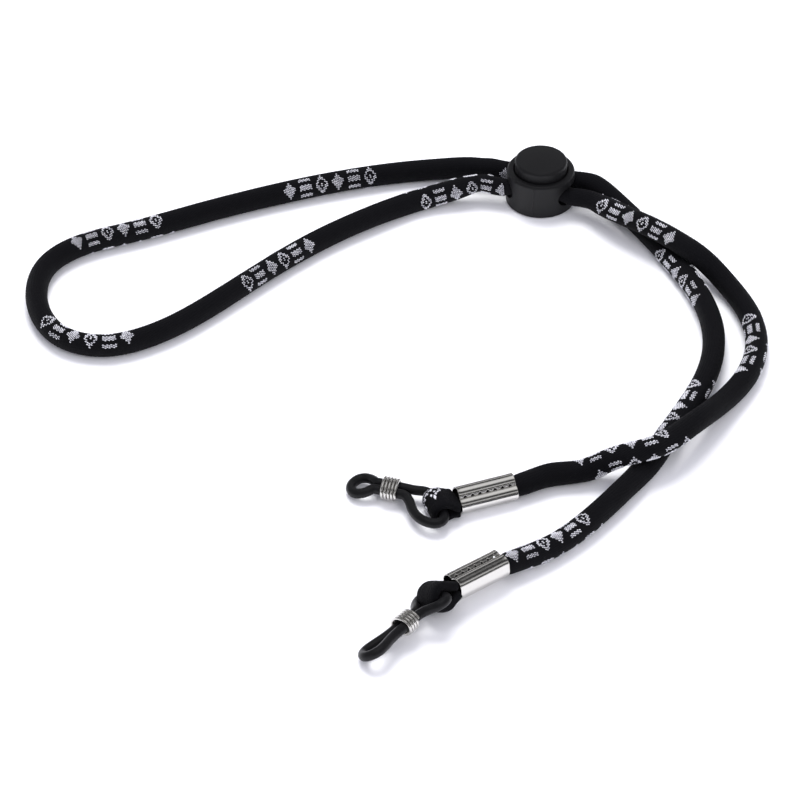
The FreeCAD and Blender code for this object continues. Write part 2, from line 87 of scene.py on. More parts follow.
MOTIF_PITCH = 58.5
MOTIF_CELLS = 6
CELL_PITCH = 4.35
CELL_HALF_WIDTH = 1.8
CELL_HALF_HEIGHT = 2.45
STITCH_ALONG = 0.46
STITCH_AROUND = 0.48
STITCH_LIFT = 0.12
STITCH_JITTER = 0.03
STITCH_OUTLINE = ((-0.62, 0.0), (-0.15, 0.42), (0.62, 0.0), (0.15, -0.42))
STITCH_TOP_SHARE = 0.5
LOCK_CLEARANCE = 0.3
END_CLEARANCE = 2.6
ROW_APART = math.radians(150)
ROW_STAGGER = 4.0


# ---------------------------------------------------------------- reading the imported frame
def triangles(node):
    """Every triangle of a CAD node as an array of three corners, in millimetres."""
    mesh = frame["nodes"][node].data
    mesh.calc_loop_triangles()
    corners = np.array([vertex.co[:] for vertex in mesh.vertices]) / MM
    return corners[np.array([triangle.vertices[:] for triangle in mesh.loop_triangles])]


def node_box(node):
    """Lowest and highest corner of a CAD node, in millimetres."""
    low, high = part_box(node)
    return np.array(low) / MM, np.array(high) / MM


def joint_named(name):
    """The record's joint of that name."""
    return [joint for joint in frame["joints"] if joint["name"] == name][0]


def unit(vector):
    """The vector's direction, one long."""
    return vector / np.linalg.norm(vector)


def plane_cut(faces, point, normal, reach):
    """Points where a plane cuts the triangles, no further than reach from the given point."""
    side = (faces - point) @ normal
    crossing = (side.min(axis=1) < 0) & (side.max(axis=1) > 0)
    faces, side = faces[crossing], side[crossing]
    found = []
    for first in range(3):
        second = (first + 1) % 3
        opposite = side[:, first] * side[:, second] < 0
        share = side[opposite, first] / (side[opposite, first] - side[opposite, second])
        edge = faces[opposite, second] - faces[opposite, first]
        found.append(faces[opposite, first] + edge * share[:, None])
    points = np.concatenate(found)
    return points[np.linalg.norm(points - point, axis=1) < reach]


def walk(faces, start, heading, reach):
    """Follow a tube of triangles with cutting planes; every station is (centre, width, height)."""
    stations = []
    point = np.array(start, float)
    direction = unit(np.array(heading, float))
    while len(stations) < MOST_STATIONS:
        cut = plane_cut(faces, point, direction, reach)
        if len(cut) < FEWEST_CUT_POINTS:
            break
        side = unit(np.cross(direction, UP))
        lift = np.cross(side, direction)
        across, high = cut @ side, cut @ lift
        width, height = np.ptp(across), np.ptp(high)
        if stations and min(width / stations[-1][1], height / stations[-1][2]) < END_SHARE:
            break
        centre = point + side * ((across.max() + across.min()) / 2 - point @ side)
        centre = centre + lift * ((high.max() + high.min()) / 2 - centre @ lift)
        if stations:
            direction = unit(centre - stations[-1][0])
        stations.append((centre, width, height))
        point = centre + direction * WALK_STEP
    return stations, point, direction


# ---------------------------------------------------------------- courses of tubes
COURSE_SMOOTHING = 2
COURSE_PARTS = 8


class Course:
    """A smooth centreline with a section: place, tangent, side, lift, width and height by distance."""

    def __init__(self, stations):
        centres = np.array([station[0] for station in stations])
        sizes = np.array([station[1:] for station in stations])
        table = np.hstack([centres, sizes])
        for _ in range(COURSE_SMOOTHING):
            table[1:-1] = (table[:-2] + 2 * table[1:-1] + table[2:]) / 4
        table = catmull_rom(table, COURSE_PARTS)
        steps = np.linalg.norm(np.diff(table[:, :3], axis=0), axis=1)
        self.distance = np.concatenate([[0.0], np.cumsum(steps)])
        self.table = table
        self.length = self.distance[-1]
        self.tangents = np.gradient(table[:, :3], self.distance, axis=0)

    def at(self, distance):
        """Centres, side and lift directions, widths and heights at an array of distances."""
        look_up = lambda column: np.interp(distance, self.distance, column)
        centre = np.stack([look_up(self.table[:, axis]) for axis in range(3)], axis=-1)
        tangent = np.stack([look_up(self.tangents[:, axis]) for axis in range(3)], axis=-1)
        tangent /= np.linalg.norm(tangent, axis=-1, keepdims=True)
        side = np.cross(tangent, UP)
        side /= np.linalg.norm(side, axis=-1, keepdims=True)
        lift = np.cross(side, tangent)
        return centre, tangent, side, lift, look_up(self.table[:, 3]), look_up(self.table[:, 4])


def catmull_rom(table, parts):
    """A smooth table through every row of the given one, with parts rows for each gap."""
    padded = np.vstack([2 * table[0] - table[1], table, 2 * table[-1] - table[-2]])
    share = (np.arange(parts) / parts)[:, None]
    rows = []
    for index in range(1, len(padded) - 2):
        before, start, end, after = padded[index - 1:index + 3]
        rows.append(0.5 * (2 * start + (end - before) * share
                           + (2 * before - 5 * start + 4 * end - after) * share ** 2
                           + (3 * start - before - 3 * end + after) * share ** 3))
    rows.append(table[-1:])
    return np.vstack(rows)


def surface_points(course, distance, angle, relief):
    """Points on the oval skin of a course; angle 0 is the side, a quarter turn the top."""
    centre, tangent, side, lift, width, height = course.at(distance)
    cosine, sine = np.cos(angle), np.sin(angle)
    half_width, half_height = width / 2, height / 2
    normal = side * (cosine / half_width)[..., None] + lift * (sine / half_height)[..., None]
    normal /= np.linalg.norm(normal, axis=-1, keepdims=True)
    skin = centre + side * (half_width * cosine)[..., None] + lift * (half_height * sine)[..., None]
    return skin + normal * np.asarray(relief)[..., None], normal, tangent


# ---------------------------------------------------------------- meshes
def mesh_object(name, points, faces, material, uv=None):
    """A smooth-shaded object from points in millimetres."""
    mesh = bpy.data.meshes.new(name)
    mesh.from_pydata((points * MM).tolist(), [], faces)
    if uv is not None:
        layer = mesh.uv_layers.new(name="weave")
        layer.data.foreach_set("uv", uv.astype(np.float32).ravel())
    mesh.shade_smooth()
    mesh.materials.append(material)
    piece = bpy.data.objects.new(name, mesh)
    bpy.context.scene.collection.objects.link(piece)
    return piece


def tube(name, rings, along, around, material):
    """Skin rings of points, shape (rings, columns, 3), into a closed tube with capped ends."""
    count, columns = rings.shape[:2]
    index = np.arange(count * columns).reshape(count, columns)
    turned = np.roll(index, -1, axis=1)
    quads = np.stack([index[:-1], turned[:-1], turned[1:], index[1:]], axis=-1).reshape(-1, 4)
    across = np.arange(columns) * (around / columns)
    step = around / columns
    corners_u = np.stack([across, across + step, across + step, across], axis=-1)
    low, high = along[:-1], along[1:]
    corners_v = np.stack([low, low, high, high], axis=-1)
    uv = np.stack([np.broadcast_to(corners_u, (count - 1, columns, 4)),
                   np.broadcast_to(corners_v[:, None, :], (count - 1, columns, 4))], axis=-1)
    uv = uv.reshape(-1, 2)
    points = rings.reshape(-1, 3)
    caps, cap_uv = [], []
    for ring, flip in ((0, False), (count - 1, True)):
        middle = len(points)
        points = np.vstack([points, rings[ring].mean(axis=0)])
        for column in range(columns):
            pair = [int(index[ring, column]), int(turned[ring, column])]
            caps.append([middle] + (pair if flip else pair[::-1]))
            cap_uv += [[0.0, along[ring]]] * 3
    uv = np.vstack([uv, np.array(cap_uv)])
    return mesh_object(name, points, quads.tolist() + caps, material, uv)


def knit_relief(along_rows, around_columns):
    """Height, from 0 to 1, of columns of V-shaped stitches; both lengths are counted in stitches."""
    column = around_columns - np.floor(around_columns) - 0.5
    row = along_rows + np.abs(column)
    ridge = np.sqrt(np.maximum(np.cos(math.pi * column), 0))
    return ridge * (1 - ROW_DIP + ROW_DIP * np.cos(2 * math.pi * row))


def knitted_tube(name, course, material):
    """The cord's knitted skin, with real columns and rows of stitches."""
    count = int(course.length / RING_STEP)
    columns = KNIT_COLUMNS * COLUMN_SAMPLES
    ring = np.arange(count + 1)
    along = course.length * ring / count
    angle = 2 * math.pi * np.arange(columns) / columns
    distance, turned = np.meshgrid(along, angle, indexing="ij")
    rows = np.broadcast_to((ring / RINGS_PER_ROW)[:, None], distance.shape)
    stitches = turned / (2 * math.pi) * KNIT_COLUMNS
    short, long = UNEVEN_LENGTHS
    uneven = UNEVEN_DEPTH * np.sin(distance / short + 2 * turned) * np.sin(distance / long + 1.0)
    relief = KNIT_DEPTH * (knit_relief(rows, stitches) - 1) + uneven
    points, _, _ = surface_points(course, distance, turned, relief)
    return tube(name, points, along, math.pi * CORD_DIAMETER, material)


# ---------------------------------------------------------------- woven motifs
OPEN_BAND = (0.62, 1.1)
DOT_REACH = 0.2
MIDDLE_BAR = 0.25
OUTER_BAR = 0.68
DIAMOND_REACH = 0.95


def lozenge(u, v):
    """A bold lozenge with a dot in its open middle."""
    reach = abs(u) + abs(v)
    return OPEN_BAND[0] < reach < OPEN_BAND[1] or reach < DOT_REACH


def bars(u, v):
    """Three bold bars, one above the other."""
    return abs(v) < MIDDLE_BAR or abs(v) > OUTER_BAR


def diamond(u, v):
    """A solid lozenge."""
    return abs(u) + abs(v) < DIAMOND_REACH


MOTIFS = (lozenge, bars, diamond)


def motif_stitches(centre_distance):
    """Distance along the cord and distance round it of every white stitch in one group."""
    found = []
    half_length = (MOTIF_CELLS - 1) / 2 * CELL_PITCH
    for cell in range(MOTIF_CELLS):
        shape = MOTIFS[cell % len(MOTIFS)]
        columns = int(CELL_HALF_WIDTH / STITCH_ALONG)
        rows = int(CELL_HALF_HEIGHT / STITCH_AROUND)
        for column in range(-columns, columns + 1):
            for row in range(-rows, rows + 1):
                shift = STITCH_AROUND / 4 if column % 2 else -STITCH_AROUND / 4
                along = column * STITCH_ALONG
                around = row * STITCH_AROUND + shift
                if shape(along / CELL_HALF_WIDTH, around / CELL_HALF_HEIGHT):
                    found.append((centre_distance - half_length + cell * CELL_PITCH + along, around))
    return found


def group_spots(course, groups):
    """Every white stitch of the groups on one cord that can be seen, as (distance, angle)."""
    spots = []
    for middle, angle in groups:
        for along, around in motif_stitches(middle):
            if END_CLEARANCE < along < course.length - END_CLEARANCE:
                spots.append((along, angle + around / (CORD_DIAMETER / 2)))
    spots = np.array(spots)
    low, high = node_box("lock_barrel")
    middle, reach = (low + high) / 2, (high[0] - low[0]) / 2
    away = np.linalg.norm(course.at(spots[:, 0])[0][:, :2] - middle[:2], axis=1)
    return spots[away > reach + LOCK_CLEARANCE]


def stitch_mesh(name, skin, spots, material):
    """Raised white stitches on a skin, which gives points from (distance, angle, relief)."""
    random = np.random.default_rng(len(spots))
    slant = random.normal(0, STITCH_JITTER, len(spots))
    turn = STITCH_AROUND / (CORD_DIAMETER / 2)
    corners = []
    for reach, relief in ((1.0, -STITCH_LIFT / 2), (STITCH_TOP_SHARE, STITCH_LIFT)):
        for u, v in STITCH_OUTLINE:
            along = spots[:, 0] + reach * u * STITCH_ALONG + slant
            angle = spots[:, 1] + reach * v * turn
            corners.append(skin(along, angle, np.full(len(spots), relief)))
    corners = np.stack(corners, axis=1)
    sides = [[edge, (edge + 1) % 4, 4 + (edge + 1) % 4, 4 + edge] for edge in range(4)]
    shape = np.array([[4, 5, 6, 7]] + sides)
    faces = (shape[None] + 8 * np.arange(len(spots))[:, None, None]).reshape(-1, 4)
    return mesh_object(name, corners.reshape(-1, 3), faces.tolist(), material)


def cord_skin(course):
    """The skin of a cord, for its stitches to lie on."""
    return lambda distance, angle, relief: surface_points(course, distance, angle, relief)[0]


# ---------------------------------------------------------------- cords
WINDOW_CORD_SIZE = (5.0, 4.6)
WINDOW_CORD_HEIGHT = 4.75
WINDOW_DEPTH = 2.2
WINDOW_RISE = 1.8
WINDOW_OUTSIDE = 2.5
WINDOW_FALL = 3.0
WINDOW_SURROUND = 6
FERRULE_SWELL_REACH = 14.0
FERRULE_CORD_SIZE = (CORD_DIAMETER + 0.3, CORD_DIAMETER - 0.5)
FERRULE_EDGE_SHARE = 0.6
CRIMPED_SIZE = (4.4, 3.9)


def swell_at_lock(stations):
    """The soft cord stays plump until it enters the lock's windows; inside it is squeezed flat."""
    low, high = node_box("lock_barrel")
    reach = (high[0] - low[0]) / 2
    middle = (low[0] + high[0]) / 2
    full_width, full_height = WINDOW_CORD_SIZE
    changed = []
    for centre, width, height in stations:
        away = abs(centre[0] - middle)
        if centre[1] > low[1] - 2 and away < reach + WINDOW_SURROUND:
            share = min(max((away - reach + WINDOW_DEPTH) / WINDOW_RISE, 0.0), 1.0)
            outer = min(max((away - reach - WINDOW_OUTSIDE) / WINDOW_FALL, 0.0), 1.0)
            share = share * share * (3 - 2 * share)
            lift = (WINDOW_CORD_HEIGHT - centre[2]) * share * (1 - outer)
            centre = centre + UP * lift
            width = max(width, width + (full_width - width) * share)
            height = max(height, height + (full_height - height) * share)
        changed.append((centre, width, height))
    return changed


def swell_at_ferrule(stations):
    """The soft cord keeps its fullness right up to the ferrule's edge."""
    full_width, full_height = FERRULE_CORD_SIZE
    changed = []
    for index, (centre, width, height) in enumerate(stations):
        left = (len(stations) - 1 - index) * WALK_STEP
        if left < FERRULE_SWELL_REACH:
            share = min(left + FERRULE_EDGE_SHARE, 1.0)
            width = max(width, width + (full_width - width) * share)
            height = max(height, height + (full_height - height) * share)
        changed.append((centre, width, height))
    ahead = unit(stations[-1][0] - stations[-3][0])
    for step in range(1, 3):
        changed.append((stations[-1][0] + ahead * step * WALK_STEP, *CRIMPED_SIZE))
    return changed


START_CUT = 2.0
START_STEP = 0.3


def cord_start(side):
    """Where one cord passes the middle of the lock."""
    low, high = node_box("lock_barrel")
    middle = (low + high) / 2
    inside = middle - [START_CUT, 0, 0]
    cut = plane_cut(triangles("neck_sheath"), inside, np.array([1.0, 0, 0]), high[0] - low[0])
    cut = cut[(cut[:, 1] - middle[1]) * side > 0]
    centre = (cut.max(axis=0) + cut.min(axis=0)) / 2
    return np.array([middle[0], centre[1], centre[2]])


def neck_course():
    """The whole neck loop, from the rear cord in the lock round to the front one."""
    start = cord_start(1) - [START_STEP, 0, 0]
    stations, _, _ = walk(triangles("neck_sheath"), start, (-1, 0, 0), NECK_REACH)
    return Course(swell_at_lock(stations))


def tail_course(letter):
    """One whole tail, walked over the small gap where its free end bends."""
    start = cord_start(CORD_SIDE[letter]) + [START_STEP, 0, 0]
    near_faces = triangles("tail_" + letter + "_sheath")
    near, point, direction = walk(near_faces, start, (1, 0, 0), TAIL_REACH)
    free_faces = triangles("tail_" + letter + "_end_sheath")
    free, _, _ = walk(free_faces, point + direction * 2 * WALK_STEP, direction, TAIL_REACH)
    return Course(swell_at_lock(near) + swell_at_ferrule(free))


# ---------------------------------------------------------------- folded eyes
class EndPlace:
    """One tail end's own frame: x from the ferrule towards the ring, y along the bar of rubber."""

    def __init__(self, letter):
        hinge = joint_named("ring_" + letter + "_swing")
        self.bar = np.array(hinge["pos_m"]) / MM
        self.y = -unit(np.array(hinge["axis"], float))
        ferrule = triangles("ferrule_" + letter).reshape(-1, 3)
        along = self.bar - (ferrule.max(axis=0) + ferrule.min(axis=0)) / 2
        self.x = unit(along - self.y * (along @ self.y))
        self.z = np.cross(self.x, self.y)

    def points(self, x, y, z):
        """Places in the shared frame from arrays of this end's own coordinates."""
        flat = self.bar + np.multiply.outer(x, self.x) + np.multiply.outer(y, self.y)
        return flat + np.multiply.outer(z, self.z)


class EyeShape:
    """The flattened cord's fold: radius round the bar, thickness, width and a lopsided bulge."""

    def __init__(self, radius, thickness, width, bulge):
        self.radius = radius
        self.thickness = thickness
        self.width = width
        self.bulge = bulge


EYES = {"a": EyeShape(radius=2.2, thickness=1.8, width=7.2, bulge=0.45),
        "b": EyeShape(radius=2.5, thickness=2.4, width=7.6, bulge=0.15)}
EYE_MOUTH = 4.4
EYE_NECK_WIDTH = 4.4
EYE_SPREAD_START = 0.15
EYE_SPREAD_LENGTH = 0.7
EYE_WRAP = 112
EYE_WRAP_POINTS = 15
EYE_LINE_PARTS = 12
EYE_LEG_LENGTH = 12.4
EYE_LEG_THICKNESS = 0.9
EYE_LEG_GAP = 0.04
EYE_FOLD_GAP = 0.05
EYE_LEG_STRAIGHT_TO = 1.2
EYE_LEG_MIDDLE = 0.2
EYE_LEG_OPEN = (1.5, 0.1)
BULGE_PLACE = 0.9
BULGE_LENGTH = 1.0
EYE_COLUMNS = 28
EYE_SQUARENESS = 0.5
EYE_RING_STEP = 0.2


def smooth_step(value):
    """A soft rise from 0 to 1."""
    share = np.clip(value, 0, 1)
    return share * share * (3 - 2 * share)


class EyeSkin:
    """The knitted fold: out of the ferrule, round the bar of rubber and back in."""

    def __init__(self, letter):
        self.place = EndPlace(letter)
        self.shape = EYES[letter]
        shape = self.shape
        turn = np.radians(np.linspace(EYE_WRAP, -EYE_WRAP, EYE_WRAP_POINTS))
        arc = np.stack([shape.radius * np.cos(turn), shape.radius * np.sin(turn)], axis=-1)
        rest = EYE_LEG_THICKNESS / 2 + EYE_LEG_GAP
        closed = shape.thickness / 2 + EYE_FOLD_GAP
        leg = np.array([(-EYE_MOUTH - EYE_LEG_LENGTH, rest),
                        (-EYE_MOUTH - EYE_LEG_LENGTH / 2, rest),
                        (-EYE_MOUTH - EYE_LEG_STRAIGHT_TO, rest),
                        (-EYE_MOUTH + EYE_LEG_MIDDLE, (rest + closed) / 2),
                        (-EYE_MOUTH + EYE_LEG_OPEN[0], closed + EYE_LEG_OPEN[1])])
        self.line = catmull_rom(np.vstack([leg, arc, leg[::-1] * [1, -1]]), EYE_LINE_PARTS)
        gaps = np.linalg.norm(np.diff(self.line, axis=0), axis=1)
        self.run = np.concatenate([[0.0], np.cumsum(gaps)])
        self.length = self.run[-1]
        self.slopes = np.gradient(self.line, self.run, axis=0)

    def __call__(self, distance, angle, relief):
        """Points on the fold's skin by distance along the fold and angle round it."""
        look_up = lambda column: np.interp(distance, self.run, column)
        x, z = look_up(self.line[:, 0]), look_up(self.line[:, 1])
        slope_x, slope_z = look_up(self.slopes[:, 0]), look_up(self.slopes[:, 1])
        size = np.hypot(slope_x, slope_z)
        spread = smooth_step((x + EYE_MOUTH + EYE_SPREAD_START) / EYE_SPREAD_LENGTH)
        width = EYE_NECK_WIDTH + (self.shape.width - EYE_NECK_WIDTH) * spread
        thickness = EYE_LEG_THICKNESS + (self.shape.thickness - EYE_LEG_THICKNESS) * spread
        lean = self.shape.bulge * np.exp(-((x + EYE_MOUTH - BULGE_PLACE) / BULGE_LENGTH) ** 2)
        cosine, sine = np.cos(angle), np.sin(angle)
        across = width / 2 * np.sign(cosine) * np.abs(cosine) ** EYE_SQUARENESS
        across = across + lean * (1 + cosine)
        lift = (thickness / 2 + relief) * np.sign(sine) * np.abs(sine) ** EYE_SQUARENESS
        return self.place.points(x - slope_z / size * lift, across, z + slope_x / size * lift)


def knitted_eye(letter, material):
    """The knitted fold of one tail round its rubber ring, with its two legs inside the ferrule."""
    skin = EyeSkin(letter)
    count = int(skin.length / EYE_RING_STEP)
    along = np.linspace(0, skin.length, count + 1)
    columns = EYE_COLUMNS * COLUMN_SAMPLES
    angle = 2 * math.pi * np.arange(columns) / columns
    distance, turned = np.meshgrid(along, angle, indexing="ij")
    rows = distance / (RINGS_PER_ROW * RING_STEP)
    relief = KNIT_DEPTH * (knit_relief(rows, turned / (2 * math.pi) * EYE_COLUMNS) - 1)
    rings = skin(distance, turned, relief)
    return skin, tube("eye_" + letter + "_fold", rings, along, math.pi * CORD_DIAMETER, material)


EYE_MOTIF_STEPS = range(-9, 4)
EYE_MOTIF_ROWS = 7
EYE_MOTIF_PERIOD = 7
EYE_MOTIF_BAND = 3


def eye_spots(skin):
    """White stitches of a motif that happens to lie on the fold's far edge."""
    spots = []
    middle = skin.length / 2
    for step in EYE_MOTIF_STEPS:
        for row in range(EYE_MOTIF_ROWS):
            if (step + 2 * row) % EYE_MOTIF_PERIOD < EYE_MOTIF_BAND:
                shift = STITCH_AROUND / 2 * (step % 2)
                turned = (row * STITCH_AROUND + shift) / CORD_DIAMETER * 2
                spots.append((middle + step * STITCH_ALONG, math.pi / 2 + turned))
    return np.array(spots)


# ---------------------------------------------------------------- crimped ferrules
FERRULE_SHEET = 0.38
FERRULE_LOBE = 1.6
FERRULE_ROLL = {"a": -42.0, "b": -24.0}
FERRULE_RING_STEP = 0.09
FERRULE_BACK_POINTS = 24
FERRULE_LOBE_POINTS = 40
FERRULE_LOBE_TURN = 215
FERRULE_HALF_POINTS = 45
SEAM_HALF_GAP = 0.04
MOUTH_FLARE = 0.02
MOUTH_FLARE_LENGTH = 0.4
TOOTH_COUNT = 7
TOOTH_PITCH = 1.9
TOOTH_WIDTH = 1.25
TOOTH_DEPTH = 0.75


def ferrule_profile(half_width, half_height):
    """Half of the rolled sheet's section, from under the back to the seam, with the run along it."""
    lobe_y = half_width - FERRULE_LOBE
    lobe_z = half_height - FERRULE_LOBE
    turn = np.radians(np.linspace(-90, 0, FERRULE_BACK_POINTS))
    back = np.stack([half_width * np.cos(turn), half_height * np.sin(turn)], axis=-1)
    roll = np.radians(np.linspace(0, FERRULE_LOBE_TURN, FERRULE_LOBE_POINTS))
    across = lobe_y + FERRULE_LOBE * np.cos(roll)
    lobe = np.stack([across, lobe_z + FERRULE_LOBE * np.sin(roll)], axis=-1)
    lobe = lobe[across > SEAM_HALF_GAP]
    outline = np.vstack([back, lobe])
    gaps = np.linalg.norm(np.diff(outline, axis=0), axis=1)
    run = np.concatenate([[0.0], np.cumsum(gaps)])
    return run, outline


def tooth_bite(x, middle):
    """How far the far lobe's edge is cut back at x: a row of triangular gaps."""
    place = (x - middle) / TOOTH_PITCH + TOOTH_COUNT / 2
    inside = (place > 0) & (place < TOOTH_COUNT)
    from_middle = np.abs(place - np.floor(place) - 0.5) * TOOTH_PITCH
    bite = TOOTH_DEPTH * np.clip(1 - from_middle / (TOOTH_WIDTH / 2), 0, 1)
    return np.where(inside, bite, 0.0)


def rolled_ferrule(letter, material):
    """A rolled sheet crimp: round back, two lobes curling in to a seam with triangular gaps."""
    place = EndPlace(letter)
    corners = triangles("ferrule_" + letter).reshape(-1, 3) - place.bar
    along, across, high = [corners @ axis for axis in (place.x, place.y, place.z)]
    start, end = along.min(), along.max()
    run, outline = ferrule_profile(np.ptp(across) / 2, np.ptp(high) / 2)
    x = np.linspace(start, end, int((end - start) / FERRULE_RING_STEP) + 1)
    share = np.linspace(0, 1, FERRULE_HALF_POINTS)
    far_edge = run[-1] - tooth_bite(x, (start + end) / 2)
    far_run = share[::-1][None, :] * far_edge[:, None]
    near_run = np.broadcast_to(share[None, 1:] * run[-1], (len(x), len(share) - 1))
    far_y, near_y = -np.interp(far_run, run, outline[:, 0]), np.interp(near_run, run, outline[:, 0])
    far_z, near_z = np.interp(far_run, run, outline[:, 1]), np.interp(near_run, run, outline[:, 1])
    y = np.hstack([far_y, near_y])
    z = np.hstack([far_z, near_z])
    from_mouth = np.minimum(x - start, end - x)[:, None]
    flare = 1 + MOUTH_FLARE * np.exp(-from_mouth / MOUTH_FLARE_LENGTH)
    roll = math.radians(FERRULE_ROLL[letter])
    rolled_y = (y * math.cos(roll) - z * math.sin(roll)) * flare
    rolled_z = (y * math.sin(roll) + z * math.cos(roll)) * flare
    grid = place.points(np.broadcast_to(x[:, None], y.shape), rolled_y, rolled_z)
    rows, columns = y.shape
    index = np.arange(rows * columns).reshape(rows, columns)
    quads = np.stack([index[:-1, :-1], index[1:, :-1], index[1:, 1:], index[:-1, 1:]], axis=-1)
    name = "ferrule_" + letter + "_sheet"
    piece = mesh_object(name, grid.reshape(-1, 3), quads.reshape(-1, 4).tolist(), material)
    sheet = piece.modifiers.new("sheet", "SOLIDIFY")
    sheet.thickness = FERRULE_SHEET * MM
    sheet.offset = -1.0
    return piece


# ---------------------------------------------------------------- small parts of the lock
SPRING_TURNS = 8
SPRING_WIRE = 0.35
SPRING_SAMPLES = 24
SPRING_COLUMNS = 10
PARTING_WIDTH = 0.42
PARTING_LIFT = 0.16
PARTING_SINK = 0.06
PARTING_FROM_FOOT = 0.3
PARTING_FROM_RIM = 0.5
PARTING_RINGS = 40
PARTING_COLUMNS = 9
PARTING_FADE = 0.25
PARTING_END = 0.02
NEAR_EDGE = 1.0


def wire_rings(line, radius, columns):
    """Round rings of points along a line, square to it."""
    tangent = np.gradient(line, axis=0)
    tangent /= np.linalg.norm(tangent, axis=1, keepdims=True)
    side = np.cross(tangent, UP)
    side /= np.linalg.norm(side, axis=1, keepdims=True)
    lift = np.cross(side, tangent)
    angle = 2 * math.pi * np.arange(columns) / columns
    around = side[:, None] * np.cos(angle)[:, None] + lift[:, None] * np.sin(angle)[:, None]
    return line[:, None] + radius * around


def lock_spring(material):
    """The helical spring under the button, fixed to the lock."""
    low, high = node_box("lock_spring")
    middle = (low + high) / 2
    radius = (high[0] - low[0] - SPRING_WIRE) / 2
    turn = np.linspace(0, 2 * math.pi * SPRING_TURNS, SPRING_TURNS * SPRING_SAMPLES)
    height = np.linspace(low[2] + SPRING_WIRE / 2, high[2] - SPRING_WIRE / 2, len(turn))
    across = middle[0] + radius * np.cos(turn)
    line = np.stack([across, middle[1] + radius * np.sin(turn), height], axis=-1)
    rings = wire_rings(line, SPRING_WIRE / 2, SPRING_COLUMNS)
    spring = tube("lock_spring_wire", rings, turn, 1.0, material)
    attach(spring, "lock")
    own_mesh(spring)
    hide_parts("lock_spring")


def parting_line(side, material):
    """The mould's parting flash up one side of the barrel, fading out at foot and rim."""
    corners = triangles("lock_barrel").reshape(-1, 3)
    low, high = corners.min(axis=0), corners.max(axis=0)
    middle = (low + high) / 2
    heights = np.linspace(low[2] + PARTING_FROM_FOOT, high[2] - PARTING_FROM_RIM, PARTING_RINGS)
    wall = corners[np.abs(corners[:, 0] - middle[0]) > NEAR_EDGE]
    reach = np.hypot(wall[:, 0] - middle[0], wall[:, 1] - middle[1])
    foot = reach[wall[:, 2] < low[2] + NEAR_EDGE].max()
    rim = reach[wall[:, 2] > high[2] - NEAR_EDGE].max()
    radius = np.interp(heights, [low[2], high[2]], [foot, rim])
    fade = np.sin(np.linspace(PARTING_END, math.pi - PARTING_END, PARTING_RINGS)) ** PARTING_FADE
    angle = np.linspace(0, math.pi, PARTING_COLUMNS)
    across = middle[0] + PARTING_WIDTH / 2 * np.cos(angle)[None, :] * np.ones((PARTING_RINGS, 1))
    proud = PARTING_LIFT * np.sin(angle)[None, :] * fade[:, None] - PARTING_SINK
    rings = np.stack([across, middle[1] + side * (radius[:, None] + proud),
                      np.broadcast_to(heights[:, None], across.shape)], axis=-1)
    name = "lock_parting_" + ("front" if side < 0 else "back")
    flash = tube(name, rings, heights, 1.0, material)
    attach(flash, "lock")


# ---------------------------------------------------------------- materials
def new_material(name):
    """A new material with its node tree and main shader."""
    material = bpy.data.materials.new(name)
    material.use_nodes = True
    tree = material.node_tree
    shader = tree.nodes["Principled BSDF"]
    return material, tree, shader


def node(tree, kind, **settings):
    """A new shader node, with each setting put on the input or property of that name."""
    made = tree.nodes.new(kind)
    for key, value in settings.items():
        if key in made.inputs:
            made.inputs[key].default_value = value
        else:
            setattr(made, key, value)
    return made


def noise_node(tree, coordinates, scale, detail=3.0):
    """Soft noise from 0 to 1."""
    made = node(tree, "ShaderNodeTexNoise", Scale=scale, Detail=detail)
    tree.links.new(coordinates, made.inputs["Vector"])
    return made.outputs["Fac"]


def ramp(tree, value, low, high, start=0.0, end=1.0):
    """Map a value from start..end onto low..high."""
    made = node(tree, "ShaderNodeMapRange")
    made.inputs["From Min"].default_value = start
    made.inputs["From Max"].default_value = end
    made.inputs["To Min"].default_value = low
    made.inputs["To Max"].default_value = high
    tree.links.new(value, made.inputs["Value"])
    return made.outputs["Result"]


def tint(tree, value, dark, light):
    """A colour between two tints, by a value from 0 to 1."""
    made = node(tree, "ShaderNodeMix", data_type="RGBA")
    tree.links.new(value, made.inputs["Factor"])
    made.inputs["A"].default_value = (*dark, 1.0)
    made.inputs["B"].default_value = (*light, 1.0)
    return made.outputs["Result"]


def bump(tree, shader, height, strength, distance):
    """Raise the shader's surface by a height pattern."""
    made = node(tree, "ShaderNodeBump", Strength=strength, Distance=distance)
    tree.links.new(height, made.inputs["Height"])
    tree.links.new(made.outputs["Normal"], shader.inputs["Normal"])


def position(tree):
    """Each point's own place on its object."""
    return node(tree, "ShaderNodeTexCoord").outputs["Object"]


def knit_material():
    """Near-black polyester knit: fine slanting fibres, slight fuzz and faded patches."""
    material, tree, shader = new_material("black_knit")
    uv = node(tree, "ShaderNodeUVMap", uv_map="weave").outputs["UV"]
    wave = node(tree, "ShaderNodeTexWave", Scale=1.2, Distortion=2.0, Detail=2.0)
    wave.bands_direction = "DIAGONAL"
    tree.links.new(uv, wave.inputs["Vector"])
    patches = noise_node(tree, uv, 0.35)
    fibres = noise_node(tree, uv, 7.0, 4.0)
    colour = tint(tree, fibres, (0.0015, 0.0015, 0.002), (0.006, 0.006, 0.0075))
    tree.links.new(colour, shader.inputs["Base Color"])
    tree.links.new(ramp(tree, patches, 0.72, 0.9), shader.inputs["Roughness"])
    shader.inputs["Specular IOR Level"].default_value = 0.1
    shader.inputs["Sheen Weight"].default_value = 0.015
    shader.inputs["Sheen Roughness"].default_value = 0.45
    bump(tree, shader, wave.outputs["Fac"], 0.5, 0.12 * MM)
    return material


